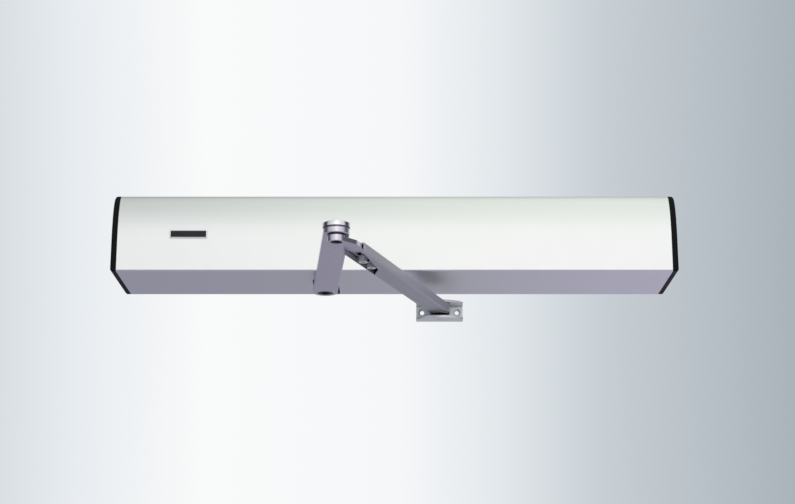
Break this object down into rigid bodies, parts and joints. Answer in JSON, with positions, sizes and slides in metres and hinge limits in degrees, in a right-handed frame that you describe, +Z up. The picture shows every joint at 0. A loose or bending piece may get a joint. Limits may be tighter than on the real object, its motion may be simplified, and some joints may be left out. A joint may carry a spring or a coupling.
{
  "type": "automatic door operator",
  "caption": "Wall-mounted automatic swing door operator: silver rounded housing with black end caps, folding link arm with telescoping forearm and a door shoe.",
  "frame": {"origin": "middle of the mounting plate's face that lies on the wall", "axes": "+X along the housing to the right of someone who faces it, +Y into the wall, +Z up"},
  "size_m": [0.69, 0.3515, 0.1368],
  "materials": {
    "anodised_cover": "satin anodised",
    "cap_plastic": "fine moulded grain",
    "zinc_plate": "zinc plated sheet",
    "cast_body": "die cast, blasted",
    "arm_silver": "silver stove enamel",
    "turned_steel": "turned and bright",
    "screw_steel": "bright zinc",
    "spring_steel": "oiled",
    "bearing_steel": "ground",
    "seal_rubber": "moulded",
    "brass": "turned",
    "bronze_bush": "sintered",
    "motor_black": "powder coat",
    "copper": "enamelled winding",
    "magnet": "sintered ferrite",
    "laminations": "stacked sheet",
    "carrier_plastic": "moulded",
    "board_green": "solder mask",
    "component_black": "moulded",
    "terminal_green": "moulded",
    "rocker_plastic": "polished moulding"
  },
  "bodies": {
    "housing": {"mounting_plate": "zinc_plate", "cable_grommet": "seal_rubber", "left_end_cap": "cap_plastic", "right_end_cap": "cap_plastic", "end_cap_screws": "screw_steel", "drive_body": "cast_body", "drive_screws": "screw_steel", "left_end_plug": "turned_steel", "right_end_plug": "turned_steel", "plug_seals": "seal_rubber", "closing_spring": "spring_steel", "spindle_bearings": "bearing_steel", "spindle_seals": "seal_rubber", "bearing_caps": "turned_steel", "pump_housing": "cast_body", "pump_cover": "cast_body", "motor_housing": "motor_black", "motor_front_bell": "cast_body", "motor_rear_bell": "cast_body", "motor_bearings": "bearing_steel", "motor_magnets": "magnet", "motor_bracket": "cast_body", "pressure_pipe": "zinc_plate", "transformer_core": "laminations", "transformer_coil": "copper", "transformer_bracket": "zinc_plate", "board_carrier": "carrier_plastic", "control_board": "board_green", "board_components": "component_black", "terminal_blocks": "terminal_green", "switch_body": "cap_plastic"},
    "cover": {"cover": "anodised_cover"},
    "spindle": {"output_spindle": "turned_steel", "main_arm": "arm_silver", "arm_screw": "screw_steel", "elbow_bush": "bronze_bush"},
    "piston": {"rack_piston": "turned_steel", "piston_seals": "seal_rubber", "check_valve": "brass"},
    "spring_plate": {"spring_plate": "turned_steel"},
    "spring_adjuster": {"spring_adjuster": "turned_steel"},
    "closing_valve": {"closing_speed_valve": "brass"},
    "latching_valve": {"latching_speed_valve": "brass"},
    "elbow": {"elbow_link": "arm_silver", "elbow_screw": "screw_steel", "elbow_cap": "turned_steel"},
    "forearm": {"forearm_channel": "arm_silver", "clamp_screws": "screw_steel", "clamp_washers": "screw_steel", "forearm_bush": "bronze_bush"},
    "shoe": {"door_shoe": "zinc_plate", "shoe_pin": "screw_steel", "shoe_spacer": "carrier_plastic"},
    "rotor": {"motor_rotor": "laminations", "rotor_windings": "copper", "encoder_disc": "carrier_plastic", "shaft_coupling": "turned_steel", "pump_drive_gear": "turned_steel"},
    "idler": {"pump_idler_gear": "turned_steel"},
    "rocker": {"switch_rocker": "rocker_plastic"}
  },
  "joints": [
    {"name": "cover_off", "type": "slide", "parent": "housing", "child": "cover", "axis": [0, -1, 0], "range_m": [0, 0.14]},
    {"name": "spindle_turn", "type": "hinge", "parent": "housing", "child": "spindle", "pos_m": [-0.0856, -0.071, 0], "axis": [0, 0, 1], "range_deg": [0, 130], "stiffness_Nm_per_rad": 8, "springref_deg": -85.94},
    {"name": "piston_slide", "type": "slide", "parent": "housing", "child": "piston", "axis": [1, 0, 0], "range_m": [0, 0.0273], "deforming": ["closing_spring"]},
    {"name": "elbow_pivot", "type": "hinge", "parent": "spindle", "child": "elbow", "pos_m": [-0.06238, -0.33649, -0.0657], "axis": [0, 0, -1], "range_deg": [-22, 150]},
    {"name": "forearm_extend", "type": "slide", "parent": "elbow", "child": "forearm", "axis": [0.3289, 0.9444, 0], "range_m": [-0.014, 0.045]},
    {"name": "shoe_pivot", "type": "hinge", "parent": "forearm", "child": "shoe", "pos_m": [0.0572, -0.0175, -0.0748], "axis": [0, 0, 1], "range_deg": [-100, 65]},
    {"name": "rotor_spin", "type": "hinge", "parent": "housing", "child": "rotor", "pos_m": [-0.28, -0.071, 0], "axis": [1, 0, 0], "continuous": true},
    {"name": "idler_spin", "type": "hinge", "parent": "housing", "child": "idler", "pos_m": [-0.19, -0.071, -0.018], "axis": [1, 0, 0], "continuous": true},
    {"name": "adjuster_turn", "type": "hinge", "parent": "housing", "child": "spring_adjuster", "pos_m": [0.0824, -0.071, 0], "axis": [-1, 0, 0], "range_deg": [0, 1441]},
    {"name": "spring_plate_slide", "type": "slide", "parent": "housing", "child": "spring_plate", "axis": [-1, 0, 0], "range_m": [0, 0.008]},
    {"name": "closing_valve_turn", "type": "hinge", "parent": "housing", "child": "closing_valve", "pos_m": [-0.0436, -0.102, 0.021], "axis": [0, -1, 0], "range_deg": [0, 720]},
    {"name": "latching_valve_turn", "type": "hinge", "parent": "housing", "child": "latching_valve", "pos_m": [-0.0236, -0.102, 0.021], "axis": [0, -1, 0], "range_deg": [0, 720]},
    {"name": "rocker_tilt", "type": "hinge", "parent": "housing", "child": "rocker", "pos_m": [0.3378, -0.088, 0], "axis": [0, -1, 0], "range_deg": [0, 18]}
  ],
  "couplings": [
    {"joint": "piston_slide", "follows": "spindle_turn", "m_per_rad": 0.012},
    {"joint": "idler_spin", "follows": "rotor_spin", "ratio": -1},
    {"joint": "adjuster_turn", "follows": "spring_plate_slide", "rad_per_m": 3141.6}
  ]
}
